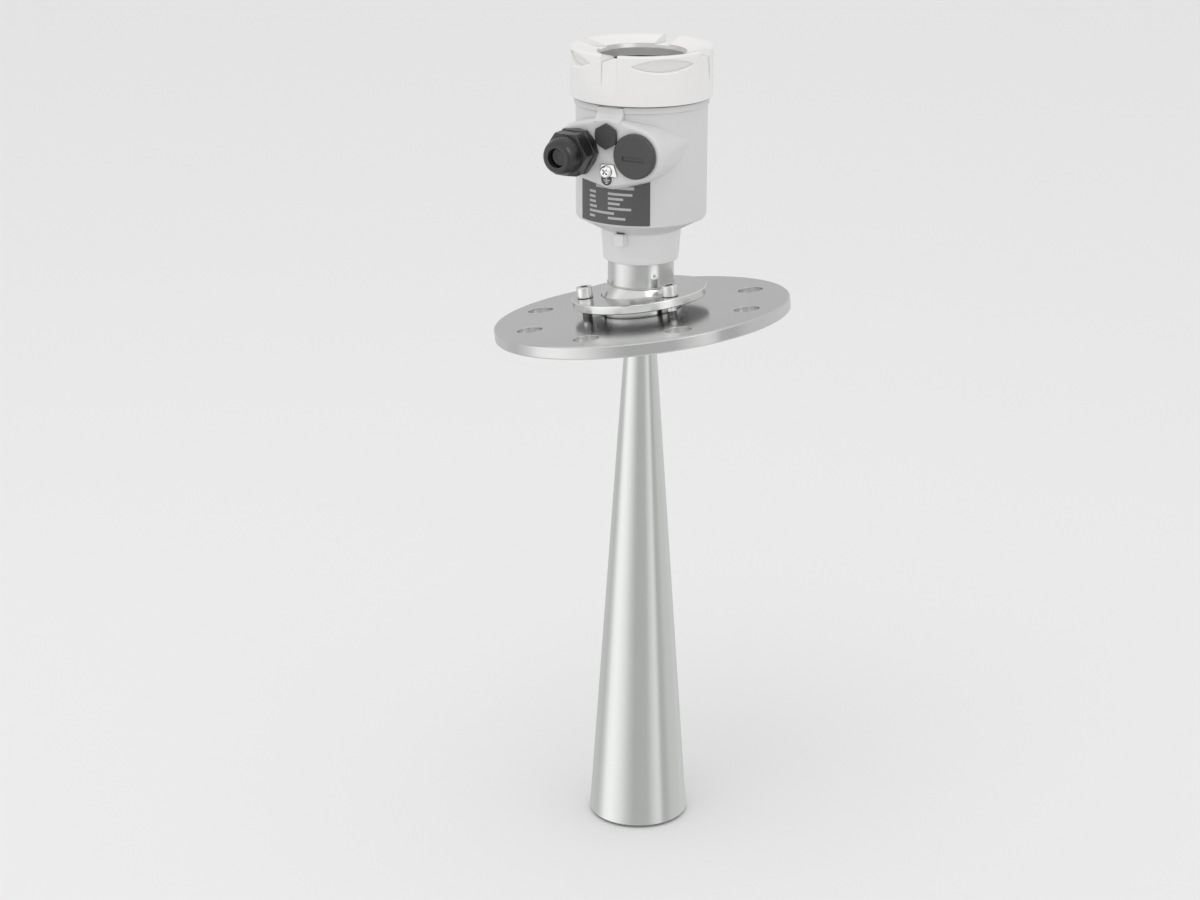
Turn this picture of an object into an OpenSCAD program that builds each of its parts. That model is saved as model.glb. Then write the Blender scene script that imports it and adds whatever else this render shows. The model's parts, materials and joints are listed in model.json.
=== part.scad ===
// Radar level transmitter: horn antenna, swivel flange and cast housing.
// Millimetres. The origin is the centre of the flange's sealing face.
// +Z is up along the antenna as it hangs plumb, and the cable entries face -Y.
// The flange is tilted about Y, and heights in the head are above the ball's centre.

/* [Flange] */
// Outside diameter of the flange
flange_d = 185; // [165:1:230]
// Thickness of the flange plate
flange_t = 8; // [7:0.5:14]
// Diameter of the circle that the bolt holes lie on
flange_pcd = 145; // [120:1:190]
// Diameter of a bolt hole
flange_hole_d = 16; // [12:0.5:20]
// Number of bolt holes
flange_holes = 8; // [4, 8]
// Chamfer on the flange's edges
flange_edge = 0.8; // [0.3:0.1:2]

/* [Swivel] */
// Angle between the flange's axis and the antenna
swivel_tilt = 7.8; // [0:0.1:14]
// Radius of the ball
ball_r = 25; // [22:0.5:30]
// Height of the ball's centre above the flange's top face
ball_rise = 3.45; // [2:0.05:5]
// Depth of the ball's flat underside below its centre
ball_base = 10; // [8:0.5:12]
// Thickness of the clamp ring
ring_t = 5.4; // [4.5:0.1:7]
// Land between a clamp screw's centre and the ring's edge
ring_land = 8.65; // [6:0.25:12]
// Gap between the flange and the clamp ring
ring_gap = 6.9; // [5:0.1:8]
// Depth of the recess for the upper seat in the clamp ring
seat_depth = 2.8; // [2:0.1:3.5]
// Radial width of the upper seat
seat_w = 4; // [3:0.1:4.5]
// Tube radius of the ball's seal ring
ball_seal_r = 1.2; // [0.8:0.1:1.4]

/* [Clamp screws] */
// Number of clamp screws
screw_count = 3; // [3:1:6]
// Distance of the clamp screws outside the ball
screw_out = 8.6; // [8.5:0.25:13]
// Direction of the first clamp screw from the housing's front
screw_start = 62; // [0:1:90]
// Thread diameter of a clamp screw
screw_d = 6; // [4:0.5:6]
// Head diameter of a clamp screw
screw_head_d = 10; // [7:0.1:10.5]
// Head height of a clamp screw
screw_head_h = 7; // [4:0.1:8]

/* [Neck] */
// Step in from the ball's radius to the steel neck tube
tube_inset = 4.6; // [3.6:0.1:6]
// Wall of the steel neck tube
tube_wall = 3; // [2:0.1:4]
// Height of the tube's top above the ball's centre
tube_top = 58; // [57:0.5:59]
// Tube radius of the neck's seal ring
neck_seal_r = 0.95; // [0.8:0.05:1.2]
// Height of the neck's seal ring above the ball's centre
neck_seal_z = 37; // [34:0.5:44]

/* [Horn] */
// Depth of the horn's mouth below the ball's centre
horn_drop = 344.8; // [200:1:500]
// Outside radius of the horn's mouth
horn_mouth_r = 31.85; // [24:0.25:48]
// Outside radius of the horn where it meets the ball
horn_top_r = 8.9; // [8.6:0.1:12]
// Wall of the horn
horn_wall = 1.6; // [1:0.1:2]
// Length of the horn's threaded end inside the ball
horn_spigot = 8; // [5:0.5:9]
// Bore radius of the waveguide
guide_bore_r = 4.5; // [3.5:0.1:5]
// Wall of the waveguide
guide_wall = 1.5; // [1:0.1:2]
// Depth of the tip of the throat cone below the ball's centre
cone_tip = 96; // [70:1:120]

/* [Housing] */
// Radius of the housing's barrel
body_r = 40; // [38:0.25:44]
// Height of the barrel's lower edge above the ball's centre
body_z = 58; // [56:0.5:60]
// Length of the barrel up to the collar
body_h = 69; // [66:0.5:80]
// Wall of the housing
body_wall = 3.5; // [2.5:0.1:4]
// Step of the collar out from the barrel
collar_step = 1; // [0.5:0.1:2]
// Height of the collar
collar_h = 4; // [3:0.1:6]
// Wall of the cast neck around the tube, at its lower edge
neck_wall = 2.8; // [2.4:0.1:4]
// Growth of the cast neck's radius up to the barrel
neck_flare = 1.4; // [0:0.1:3]
// Height of the cast neck's lower edge above the ball's centre
neck_z = 30.7; // [29:0.1:34]
// Drop of the barrel's underside towards the neck
under_drop = 8; // [5:0.5:9]
// Step in from the barrel to the threaded spigot that the lid screws onto
spigot_step = 1.7; // [1:0.1:3]
// Height of the threaded spigot
spigot_h = 16; // [12:0.5:18]
// Width of the lug on the neck
lug_w = 6; // [4:0.1:8]
// Height of the lug on the neck
lug_h = 7.5; // [5:0.1:9]
// How far the lug stands out from the neck
lug_out = 5.4; // [2:0.1:7]

/* [Cable entries] */
// Height of the entries above the barrel's lower edge
entry_rise = 46; // [42:0.5:50]
// Distance of the entries' face in front of the barrel
entry_out = 5; // [4:0.25:8]
// Thread diameter of an entry
entry_d = 20; // [16:0.5:22]
// Rim of the boss around the head of an entry's plug
boss_rim = 2.9; // [1.5:0.1:3.5]
// How much wider the middle of the boss is than its ends, in radius
boss_mid_grow = 4.8; // [3.5:0.1:6]
// Rounding of the boss' front edge
boss_round = 2.6; // [1:0.1:4]
// Width of the pad between the boss and the collar
pad_w = 17.4; // [14:0.2:22]
// Direction from the front in which the boss runs out into the barrel
tail_angle = 71; // [66:1:80]
// Radius of the boss where it runs out into the barrel
tail_r = 2.6; // [2:0.1:5]
// Height of the boss' ends above the axes of the entries
tail_rise = 5; // [0:0.5:7]

/* [Cable gland] */
// Step from the gland's thread out to the flats of its body
gland_step = 3; // [2.5:0.1:4]
// Thickness of the gland's hexagon
gland_hex_h = 5.6; // [4:0.1:8]
// Wall of the gland's nut at its flats
nut_wall = 1.8; // [1.4:0.1:2.5]
// Length of the nut's hexagon
nut_hex_h = 9.5; // [7:0.1:12]
// Length of the nut's domed nose
nose_h = 11.4; // [8:0.1:14]
// Radius of the opening in the nose
nose_open_r = 5.9; // [5:0.1:7]
// Bore radius of the rubber seal
cable_r = 4.6; // [3:0.1:5]

/* [Plugs and ground terminal] */
// Step from the blind plug's thread out to its head's edge
plug_step = 3.5; // [2.5:0.1:4.5]
// Head height of the blind plug
plug_h = 3; // [2:0.1:4]
// Width across flats of the vent plug
vent_af = 13.8; // [12:0.1:15]
// Head height of the vent plug
vent_h = 2; // [1.5:0.1:3]
// Height of the vent plug above the entries
vent_rise = 10.1; // [9.5:0.1:11]
// Depth of the ground screw below the entries
ground_drop = 11.1; // [9:0.1:12]
// Head diameter of the ground screw
ground_screw_d = 7.4; // [6:0.1:8]

/* [Label] */
// Angle that the label wraps to each side of the front
label_half_angle = 34.5; // [25:0.5:40]
// Thickness of the label
label_t = 0.5; // [0.3:0.1:1]
// Bare band under the label
label_margin = 1.6; // [1:0.1:4]

/* [Lid] */
// Step of the lid out from the collar
lid_step = 2; // [1.5:0.1:5]
// Height of the lid
lid_h = 30.1; // [30:0.1:36]
// Drop of the lid's top from its rim to the window recess
lid_dish = 3.5; // [1:0.1:3.9]
// Width of a spanner slot in the rim
slot_w = 10.5; // [8:0.1:14]
// Depth of a spanner slot in the rim
slot_deep = 4.5; // [4:0.1:6]
// Depth of the channel below a slot, at its upper end
channel_deep = 1.4; // [0.8:0.1:2]
// Length of the channel below a slot
channel_h = 19; // [12:0.5:24]
// Half the angle that a finger facet covers
facet_half_angle = 27; // [20:0.5:30]
// Height of a finger facet
facet_h = 8.2; // [6:0.1:9]

/* [Window] */
// Wall of the lid around the window glass
window_wall = 2.8; // [2.2:0.1:4]
// Cover of the lid's lip over the edge of the glass
glass_cover = 4; // [2.5:0.1:6]
// Chamfer of the recess' upper edge
recess_chamfer = 1.2; // [0.5:0.1:2]
// Thickness of the window glass
glass_t = 5; // [4:0.1:5.5]
// Thickness of the window gasket
gasket_t = 0.8; // [0.5:0.1:1]
// Height of the glass retainer
retainer_h = 3.4; // [2.5:0.1:3.6]

/* [Display] */
// Gap around the display module inside the spigot
display_gap = 2.3; // [1.6:0.1:4]
// Height of the display module
display_h = 13; // [11:0.1:13.5]
// Width of the screen
screen_w = 34; // [28:0.5:36]
// Depth of the screen
screen_d = 18; // [14:0.5:20]
// Radius of a key
key_r = 2.9; // [2:0.1:3.2]
// Distance between keys
key_pitch = 9; // [8:0.1:10]
// Travel of a key
key_travel = 0.6; // [0.3:0.1:0.8]

/* [Hidden] */
$fn = 72;

free_gap = 0.3;       // between pieces that turn past each other without a fit
running_gap = 0.05;   // radial clearance of a turning fit
seat_gap = 0.02;      // radial clearance of a piece pushed into its seat
eps = 1;              // how far a cutting shape runs past a face

ball_h = flange_t + ball_rise;
ring_z = flange_t + ring_gap;
screw_circle_r = ball_r + screw_out;
ring_r = screw_circle_r + ring_land;
seat_r = sqrt(pow(ball_r + free_gap, 2) - pow(ring_z - ball_h, 2)) + seat_w;
groove_half = ball_seal_r + free_gap;
groove_z = flange_t - 1 - groove_half;
ball_seal_ring_r = sqrt(pow(ball_r + free_gap + ball_seal_r, 2) - pow(ball_h - groove_z, 2));
flange_throat_z = groove_z - groove_half - 1;
flange_throat_r = sqrt(pow(ball_r + free_gap, 2) - pow(ball_h - flange_throat_z, 2));
tapped_depth = flange_t - 1;

tube_r = ball_r - tube_inset;
tube_z = sqrt(ball_r * ball_r - tube_r * tube_r);
tube_socket = 2;
horn_spigot_r = horn_top_r - 1;
guide_r = guide_bore_r + guide_wall;
horn_taper = (horn_mouth_r - horn_top_r) / (horn_drop - ball_base);
function horn_r(depth) = horn_top_r + (depth - ball_base) * horn_taper;

neck_low_r = tube_r + neck_wall;
neck_top_r = neck_low_r + neck_flare;
collar_r = body_r + collar_step;
spigot_r = body_r - spigot_step;
spigot_bore_r = spigot_r - body_wall;
shoulder_z = body_z + body_h;
collar_z = shoulder_z + collar_h;
cavity_r = body_r - body_wall;
ledge_z = body_z + 3;
ledge_r = cavity_r - 3.5;
floor_z = body_z - under_drop + 4;
neck_bore_r = tube_r + running_gap;
clip_t = 1.2;
clip_z = floor_z + free_gap;
guide_top = ledge_z + 3;

lid_seal_r = 1.3;
lid_seal_ring_r = spigot_r + free_gap;
lid_seal_z = collar_z + lid_seal_r + 0.7;
lid_r = collar_r + lid_step;
lid_z = collar_z + 0.4;
lid_top = lid_z + lid_h;
lid_bore_r = spigot_r + 0.4;
lid_bore_z = shoulder_z + spigot_h + 1;
recess_z = lid_top - lid_dish;
lid_boss_r = spigot_bore_r - 0.6;
window_bore_r = lid_boss_r - window_wall;
glass_r = window_bore_r - 0.4;
recess_r = glass_r - glass_cover;
recess_wall_r = recess_r - recess_chamfer;
gasket_z = recess_z - 7.5;
glass_z = gasket_z - gasket_t - glass_t;
retainer_z = glass_z - retainer_h;
facet_z = lid_top - 6;

entry_r = entry_d / 2;
entry_z = body_z + entry_rise;
entry_face = body_r + entry_out;
plug_r = entry_r + plug_step;
plug_gap = 0.316;
half_pitch = sqrt(pow(plug_r + vent_af / 2 / cos(30) + plug_gap, 2) - vent_rise * vent_rise);
boss_r = plug_r + boss_rim;
boss_mid_r = boss_r + boss_mid_grow;
gasket_h = 1.2;
gland_af = 2 * (entry_r + gland_step);
gland_bore_r = cable_r + 2;
gland_sleeve_r = entry_r + 0.4;
gland_sleeve_h = gland_hex_h + 9;
nut_z = gasket_h + gland_hex_h + 0.6;
nut_bore_r = gland_sleeve_r + free_gap;
nut_af = 2 * (nut_bore_r + nut_wall);
nose_z = nut_z + nut_hex_h;
nose_r = nut_af / 2 - 1;
gland_seal_r = gland_sleeve_r - 2.2;
gland_seal_z = 8;

clamp_t = 1.2;
tag_r = 4.1;
tag_t = 0.6;
boss_draft = 0.8;
label_gap = 0.9;

cup_top = entry_z - entry_r - 6;
post_top = shoulder_z - 8;
display_top = post_top + display_h;
display_r = spigot_bore_r - display_gap;
post_circle_r = display_r - 4.3;
post_angles = [32, 148, 270];
key_y = -13;
key_rise = 1.2;
key_h = 3;
key_well = key_h - key_rise + key_travel + 0.4;
screen_y = 6;
screen_drop = 2.4;

// The flange and what is fixed to it lean by the swivel's angle
module in_flange() {
  rotate([0, -swivel_tilt, 0]) children();
}

// The head hangs plumb from the ball's centre
module in_head() {
  translate([-ball_h * sin(swivel_tilt), 0, ball_h * cos(swivel_tilt)]) children();
}

// A direction on the entries' face: z runs outwards along -Y, y runs up
module on_entry_face(x, rise = 0) {
  in_head() translate([x, -entry_face, entry_z + rise]) rotate([90, 0, 0]) children();
}

// A round plate with both outer edges chamfered
module chamfered_disc(r, h, c) {
  rotate_extrude() polygon([[0, 0], [r - c, 0], [r, c], [r, h - c], [r - c, h], [0, h]]);
}

module tube(r_out, r_in, h) {
  difference() {
    cylinder(r = r_out, h = h);
    translate([0, 0, -eps]) cylinder(r = r_in, h = h + 2 * eps);
  }
}

module o_ring(ring_r, tube_r) {
  rotate_extrude() translate([ring_r, 0]) circle(r = tube_r);
}

// A hexagon by its width across flats, with its rims turned down to a chamfer
module hexagon(af, h) {
  corner_r = af / 2 / cos(30);
  edge = corner_r - af / 2;
  intersection() {
    cylinder(r = corner_r, h = h, $fn = 6);
    rotate_extrude() polygon([
      [0, 0], [corner_r - edge, 0], [corner_r, edge * 0.6],
      [corner_r, h - edge * 0.6], [corner_r - edge, h], [0, h]
    ]);
  }
}

module at_clamp_screws() {
  for (i = [0 : screw_count - 1])
    rotate([0, 0, screw_start - 90 + i * 360 / screw_count])
      translate([screw_circle_r, 0, 0]) children();
}

module flange() {
  color("silver") in_flange() difference() {
    chamfered_disc(flange_d / 2, flange_t, flange_edge);
    translate([0, 0, ball_h]) sphere(r = ball_r + free_gap);
    translate([0, 0, -eps]) cylinder(r = flange_throat_r, h = flange_throat_z + 1.5 * eps);
    rotate_extrude() translate([ball_r - 5, groove_z - groove_half])
      square([ball_seal_ring_r + groove_half - ball_r + 5, 2 * groove_half]);
    for (i = [0 : flange_holes - 1])
      rotate([0, 0, -90 + i * 360 / flange_holes])
        translate([flange_pcd / 2, 0, -eps]) cylinder(d = flange_hole_d, h = flange_t + 2 * eps);
    at_clamp_screws() translate([0, 0, flange_t - tapped_depth])
      cylinder(r = screw_d / 2 + seat_gap, h = tapped_depth + eps);
  }
}

module clamp_ring() {
  color("silver") in_flange() difference() {
    translate([0, 0, ring_z]) chamfered_disc(ring_r, ring_t, 0.5);
    translate([0, 0, ball_h]) sphere(r = ball_r + free_gap);
    translate([0, 0, ring_z - eps]) cylinder(r = seat_r, h = seat_depth + eps);
    at_clamp_screws() translate([0, 0, ring_z - eps])
      cylinder(r = screw_d / 2 + 0.25, h = ring_t + 2 * eps);
  }
}

module clamp_screws() {
  head_z = ring_z + ring_t;
  socket = screw_d * 0.8;
  color("lightgray") in_flange() at_clamp_screws() {
    difference() {
      union() {
        translate([0, 0, head_z]) chamfered_disc(screw_head_d / 2, screw_head_h, 0.4);
        translate([0, 0, flange_t - tapped_depth + 0.5])
          cylinder(d = screw_d, h = head_z - flange_t + tapped_depth);
      }
      translate([0, 0, head_z + screw_head_h - socket * 0.6])
        cylinder(d = socket / cos(30), h = socket, $fn = 6);
    }
  }
}

module ball_seal() {
  color("dimgray") in_flange() translate([0, 0, groove_z]) o_ring(ball_seal_ring_r, ball_seal_r);
}

module upper_seat() {
  color("white") in_flange() difference() {
    translate([0, 0, ring_z]) cylinder(r = seat_r - free_gap, h = seat_depth - free_gap);
    translate([0, 0, ball_h]) sphere(r = ball_r + free_gap);
  }
}

module swivel_ball() {
  color("silver") in_head() difference() {
    intersection() {
      sphere(r = ball_r);
      translate([0, 0, -ball_base]) cylinder(r = ball_r + eps, h = ball_base + tube_z);
    }
    translate([0, 0, tube_z - tube_socket]) cylinder(r = tube_r - 1 + seat_gap, h = tube_socket + eps);
    translate([0, 0, -ball_base - eps]) cylinder(r = horn_spigot_r + seat_gap, h = horn_spigot + eps);
    cylinder(r = guide_r + seat_gap, h = 4 * ball_r, center = true);
  }
}

module neck_tube() {
  color("silver") in_head() difference() {
    union() {
      translate([0, 0, tube_z - tube_socket]) cylinder(r = tube_r - 1, h = tube_socket);
      translate([0, 0, tube_z]) rotate_extrude() polygon([
        [0, 0], [tube_r - 0.5, 0], [tube_r, 0.5], [tube_r, tube_top - tube_z - 0.8],
        [tube_r - 0.8, tube_top - tube_z], [0, tube_top - tube_z]
      ]);
    }
    translate([0, 0, tube_z - tube_socket - eps]) cylinder(r = tube_r - tube_wall, h = tube_top + eps);
    rotate_extrude() translate([tube_r - 2 * neck_seal_r, neck_seal_z - neck_seal_r - 0.2])
      square([2 * neck_seal_r + eps, 2 * neck_seal_r + 0.4]);
    rotate_extrude() translate([tube_r - 1, clip_z]) square([2, clip_t]);
  }
}

module neck_seal() {
  color("dimgray") in_head() translate([0, 0, neck_seal_z])
    o_ring(tube_r - neck_seal_r - seat_gap, neck_seal_r - seat_gap);
}

// An open spring ring that holds the housing down on the neck
module retaining_ring() {
  ring_out_r = tube_r + 2.2;
  color("gray") in_head() translate([0, 0, clip_z]) difference() {
    tube(ring_out_r, tube_r - 1 + seat_gap, clip_t);
    translate([-3, tube_r - 3, -eps]) cube([6, 8, clip_t + 2 * eps]);
  }
}

module horn() {
  open_z = ball_base + 16;
  color("silver") in_head() rotate_extrude() polygon([
    [guide_bore_r, -ball_base + horn_spigot], [guide_bore_r, -ball_base - 4],
    [horn_r(open_z) - horn_wall, -open_z], [horn_mouth_r - horn_wall, -horn_drop],
    [horn_mouth_r, -horn_drop], [horn_top_r, -ball_base], [horn_spigot_r, -ball_base],
    [horn_spigot_r, -ball_base + horn_spigot]
  ]);
}

module waveguide() {
  low_z = horn_spigot - ball_base;
  color("goldenrod") in_head() translate([0, 0, low_z]) tube(guide_r, guide_bore_r, guide_top - low_z);
}

// The plastic cone that closes the horn's throat
module throat_cone() {
  plug_z = ball_base + 4;
  open_z = ball_base + 16;
  wide_z = open_z + 12;
  color("white") in_head() rotate_extrude() polygon([
    [0, -plug_z + 8], [guide_bore_r - seat_gap, -plug_z + 8], [guide_bore_r - seat_gap, -plug_z],
    [horn_r(open_z) - horn_wall - seat_gap, -open_z], [horn_r(wide_z) - horn_wall - seat_gap, -wide_z],
    [0, -cone_tip]
  ]);
}

// One post of the entries' boss: a round bar whose front edge is rounded
module boss_post(r) {
  steps = 4;
  rotate_extrude($fn = 48) polygon(concat(
    [[0, -28], [r + boss_draft, -28]],
    [for (i = [0 : steps]) let (a = 90 * i / steps)
      [r - boss_round * (1 - cos(a)), -boss_round * (1 - sin(a))]],
    [[0, 0]]
  ));
}

module entry_boss() {
  hull() {
    on_entry_face(0) {
      boss_post(boss_mid_r);
      translate([half_pitch, 0, 0]) boss_post(boss_r);
      translate([-half_pitch, 0, 0]) boss_post(boss_r);
    }
    for (side = [-1, 1]) in_head() rotate([0, 0, side * tail_angle - 90])
      translate([body_r - tail_r, 0, entry_z + tail_rise]) sphere(r = tail_r, $fn = 32);
  }
}

// The outline of the boss where it meets the barrel: three circles and their common tangents
module boss_outline(grow) {
  mid_r = boss_mid_r + boss_draft + grow;
  end_r = boss_r + boss_draft + grow;
  slope = asin((mid_r - end_r) / half_pitch);
  tuck = 0.03;
  circle(r = mid_r);
  for (side = [-1, 1]) translate([side * half_pitch, 0]) circle(r = end_r);
  outwards = [[0, mid_r], [half_pitch, end_r]];
  inwards = [[half_pitch, end_r], [0, mid_r]];
  polygon([
    for (turn = [[1, 1], [1, -1], [-1, -1], [-1, 1]])
      for (spot = turn[0] * turn[1] > 0 ? outwards : inwards)
        [turn[0] * (spot[0] + (spot[1] - tuck) * sin(slope)), turn[1] * (spot[1] - tuck) * cos(slope)]
  ]);
}

// The pad that joins the boss to the collar above the vent plug
module boss_pad() {
  in_head() translate([pad_w / 2, 0, 0]) rotate([0, -90, 0]) linear_extrude(height = pad_w) polygon([
    [entry_z, -body_r + 4], [entry_z, -entry_face], [entry_z + boss_mid_r - boss_round, -entry_face],
    [shoulder_z, -collar_r - 0.2], [collar_z - 0.6, -collar_r - 0.2], [collar_z - 0.6, -body_r + 4]
  ]);
}

module housing_outside() {
  in_head() rotate_extrude() polygon([
    [0, neck_z], [neck_low_r - 0.4, neck_z], [neck_low_r, neck_z + 0.4],
    [neck_top_r, body_z - under_drop], [body_r - 1.5, body_z - 0.5], [body_r - 0.4, body_z],
    [body_r, body_z + 0.6], [body_r, shoulder_z], [collar_r, shoulder_z + 0.3],
    [collar_r, collar_z], [spigot_r, collar_z], [spigot_r, shoulder_z + spigot_h - 0.6],
    [spigot_r - 0.6, shoulder_z + spigot_h], [0, shoulder_z + spigot_h]
  ]);
  entry_boss();
  boss_pad();
  in_head() translate([-lug_w / 2, -neck_top_r - lug_out, body_z - under_drop - lug_h + 1])
    cube([lug_w, lug_out + 2, lug_h]);
}

module housing() {
  color("gainsboro") difference() {
    housing_outside();
    in_head() rotate_extrude() polygon([
      [0, neck_z - eps], [neck_bore_r, neck_z - eps], [neck_bore_r, floor_z],
      [neck_bore_r + 3, floor_z], [ledge_r, ledge_z], [cavity_r, ledge_z],
      [cavity_r, shoulder_z - 4], [spigot_bore_r, shoulder_z],
      [spigot_bore_r, shoulder_z + spigot_h + eps], [0, shoulder_z + spigot_h + eps]
    ]);
    in_head() rotate_extrude() translate([lid_seal_ring_r - lid_seal_r - free_gap, collar_z + 0.4])
      square([8, 2 * lid_seal_r + 0.6]);
    for (side = [-1, 1]) on_entry_face(side * half_pitch)
      translate([0, 0, -20]) cylinder(r = entry_r, h = 20 + eps);
    on_entry_face(0, vent_rise) translate([0, 0, -14]) cylinder(r = 4, h = 14 + eps);
    on_entry_face(0, -ground_drop) translate([0, 0, -8]) cylinder(r = 2, h = 8 + eps);
  }
}

module label() {
  low_z = body_z + label_margin;
  color("dimgray") difference() {
    in_head() translate([0, 0, low_z]) rotate([0, 0, -90 - label_half_angle])
      rotate_extrude(angle = 2 * label_half_angle)
        translate([body_r + seat_gap, 0]) square([label_t, entry_z - low_z]);
    on_entry_face(0) translate([0, 0, -40]) linear_extrude(height = 60) boss_outline(label_gap);
  }
}

module lid_seal() {
  color("dimgray") in_head() translate([0, 0, lid_seal_z]) o_ring(lid_seal_ring_r, lid_seal_r);
}

module gland_gasket() {
  color("dimgray") on_entry_face(-half_pitch) tube(entry_r + 3, entry_r, gasket_h);
}

module gland_body() {
  color("#2b2b2b") on_entry_face(-half_pitch) difference() {
    union() {
      translate([0, 0, -12]) cylinder(r = entry_r - seat_gap, h = 12 + gasket_h);
      translate([0, 0, gasket_h]) hexagon(gland_af, gland_hex_h);
      translate([0, 0, gasket_h]) cylinder(r = gland_sleeve_r, h = gland_sleeve_h);
    }
    translate([0, 0, -13]) cylinder(r = gland_bore_r, h = 40);
    translate([0, 0, gland_seal_z - free_gap]) cylinder(r = gland_seal_r + free_gap, h = 40);
  }
}

module gland_seal() {
  color("black") on_entry_face(-half_pitch) translate([0, 0, gland_seal_z]) difference() {
    rotate_extrude() polygon([
      [0, 0], [gland_seal_r, 0], [gland_seal_r, gland_sleeve_h - 6],
      [gland_seal_r - 1, gland_sleeve_h - 4], [0, gland_sleeve_h - 4]
    ]);
    translate([0, 0, -eps]) cylinder(r = cable_r, h = 30);
  }
}

module gland_nut() {
  inner_z = gasket_h + gland_sleeve_h + 1;
  lip_r = nose_open_r + 1.6;
  steps = 8;
  color("#2b2b2b") on_entry_face(-half_pitch) difference() {
    union() {
      translate([0, 0, nut_z]) hexagon(nut_af, nut_hex_h);
      translate([0, 0, nose_z - 1]) rotate_extrude() polygon(concat(
        [[0, 0]],
        [for (i = [0 : steps]) let (a = 90 * i / steps)
          [lip_r + (nose_r - lip_r) * cos(a), 1 + (nose_h - 1) * sin(a)]],
        [[0, nose_h]]
      ));
    }
    translate([0, 0, nut_z - eps]) cylinder(r = nut_bore_r, h = inner_z - nut_z + eps);
    translate([0, 0, inner_z - 0.01]) cylinder(r1 = nut_bore_r, r2 = nose_open_r, h = 4);
    translate([0, 0, nut_z]) cylinder(r = nose_open_r, h = 40);
  }
}

module plug_gasket() {
  color("dimgray") on_entry_face(half_pitch) tube(plug_r - 1, entry_r, 0.8);
}

module blind_plug() {
  color("#3a3a3a") on_entry_face(half_pitch) difference() {
    union() {
      translate([0, 0, -10]) cylinder(r = entry_r - seat_gap, h = 11);
      translate([0, 0, 0.8]) rotate_extrude() polygon([
        [0, 0], [plug_r, 0], [plug_r, plug_h - 0.8], [plug_r - 0.8, plug_h], [0, plug_h]
      ]);
    }
    translate([0, -1.6, plug_h + 0.8 - 0.9]) {
      translate([-6, -1.6, 0]) cube([12, 3.2, 3]);
      for (side = [-1, 1]) translate([side * 6, 0, 0]) cylinder(r = 1.6, h = 3);
    }
  }
}

module vent_plug() {
  color("#3a3a3a") on_entry_face(0, vent_rise) {
    rotate([0, 0, 30]) translate([0, 0, 0.6]) hexagon(vent_af, vent_h);
    translate([0, 0, -10]) cylinder(r = 4 - seat_gap, h = 11);
  }
}

module vent_seal() {
  color("black") on_entry_face(0, vent_rise) tube(vent_af / 2 - 1, 4, 0.6);
}

module ground_screw() {
  head_z = clamp_t;
  color("whitesmoke") on_entry_face(0, -ground_drop) difference() {
    union() {
      translate([0, 0, head_z]) rotate_extrude() polygon([
        [0, 0], [ground_screw_d / 2, 0], [ground_screw_d / 2, 1], [ground_screw_d / 2 - 0.8, 1.8], [0, 2]
      ]);
      translate([0, 0, -7]) cylinder(r = 2 - seat_gap, h = 9);
    }
    for (a = [45, 135]) translate([0, 0, head_z + 1.6])
      rotate([0, 0, a]) cube([4, 0.9, 1.4], center = true);
  }
}

module ground_clamp() {
  half_w = ground_screw_d / 2 + 0.1;
  color("whitesmoke") on_entry_face(0, -ground_drop) difference() {
    linear_extrude(height = clamp_t) polygon([
      [-half_w, -2.7], [half_w + 3.4, -2.7], [half_w + 1.2, half_w + 0.5], [-half_w, half_w + 0.5]
    ]);
    translate([0, 0, -eps]) cylinder(r = 2.2, h = clamp_t + 2 * eps);
  }
}

module ground_tag() {
  side_h = 1.6;
  color("dimgray") on_entry_face(0, -ground_drop - 3.4) linear_extrude(height = tag_t) {
    translate([-tag_r, -side_h]) square([2 * tag_r, side_h]);
    intersection() {
      translate([0, -side_h]) circle(r = tag_r);
      translate([-tag_r, -side_h - tag_r]) square([2 * tag_r, tag_r + 0.1]);
    }
  }
}

// A tool shape for one finger facet: a lens seen from outside, cut to a flat floor
module facet_cut() {
  half_w = lid_r * sin(facet_half_angle);
  flat_y = lid_r * cos(facet_half_angle);
  lens_r = (half_w * half_w + facet_h * facet_h / 4) / facet_h;
  translate([0, -flat_y, facet_z]) rotate([90, 0, 0]) linear_extrude(height = 20) intersection() {
    translate([0, facet_h / 2 - lens_r]) circle(r = lens_r, $fn = 180);
    translate([0, lens_r - facet_h / 2]) circle(r = lens_r, $fn = 180);
  }
}

// A tool shape for one spanner slot, with the shallow channel that runs out below it
module slot_cut() {
  floor_z = lid_top - slot_deep;
  rotate([90, 0, 90]) linear_extrude(height = slot_w, center = true) polygon([
    [-8, lid_top + eps], [-lid_r - eps, lid_top + eps], [-lid_r - eps, floor_z - channel_h],
    [-lid_r, floor_z - channel_h], [-lid_r + channel_deep, floor_z], [-8, floor_z]
  ]);
}

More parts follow.
